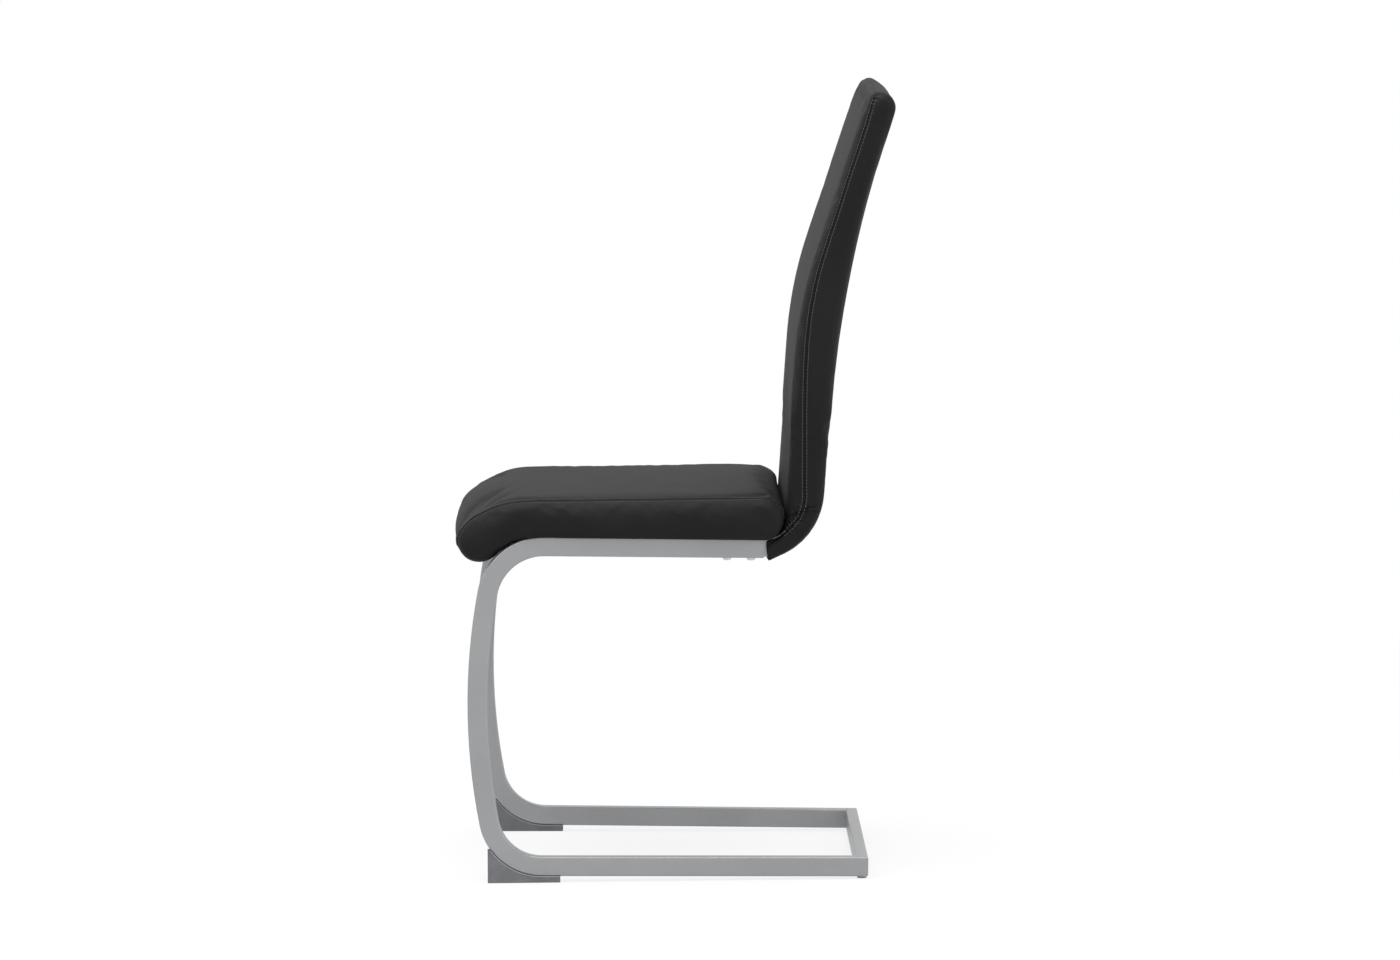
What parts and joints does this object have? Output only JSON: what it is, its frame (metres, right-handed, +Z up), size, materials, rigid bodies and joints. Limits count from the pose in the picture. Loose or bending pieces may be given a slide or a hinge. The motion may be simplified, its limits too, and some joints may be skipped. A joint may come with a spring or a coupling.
{
  "type": "cantilever chair",
  "caption": "Cantilever dining chair with a bowed steel tube frame, low rear cross tube, thick upholstered seat with a rolled front edge and a high upholstered back that leans to the rear.",
  "frame": {"origin": "on the floor, under the middle of the chair's bounding box", "axes": "+Z up, -Y to the front, where the sitter faces, +X to the sitter's left; the chair is mirrored about X = 0"},
  "size_m": [0.43, 0.555, 0.9925],
  "materials": {
    "silver_coat": "satin silver grey powder coat",
    "zinc_steel": "bright zinc plate",
    "foot_plastic": "grey moulded plastic",
    "glide_plastic": "light grey moulded plastic",
    "faux_leather": "black grained faux leather, low sheen",
    "foam": "cut polyurethane foam",
    "webbing": "woven elastic webbing",
    "hem_plastic": "extruded plastic",
    "plywood": "raw plywood",
    "dust_cloth": "black nonwoven cloth"
  },
  "bodies": {
    "root": {"side_tube_left": "silver_coat", "side_tube_right": "silver_coat", "rear_cross_tube": "silver_coat", "front_seat_bar": "silver_coat", "rear_seat_bar": "silver_coat", "back_upright_left": "silver_coat", "back_upright_right": "silver_coat", "back_lower_bar": "silver_coat", "back_middle_bar": "silver_coat", "back_top_bar": "silver_coat", "foot_screws": "zinc_steel", "frame_bolts": "zinc_steel", "seat_tee_nuts": "zinc_steel", "seat_screws": "zinc_steel", "seat_washers": "zinc_steel", "thread_block_left": "zinc_steel", "thread_block_right": "zinc_steel", "front_foot_left": "foot_plastic", "front_foot_right": "foot_plastic", "rear_glide_left": "glide_plastic", "rear_glide_right": "glide_plastic", "back_cover": "faux_leather", "seat_cover": "faux_leather", "back_front_foam": "foam", "back_rear_foam": "foam", "seat_foam": "foam", "back_straps": "webbing", "hem_strip": "hem_plastic", "seat_board": "plywood", "seat_dust_cover": "dust_cloth"}
  },
  "joints": []
}
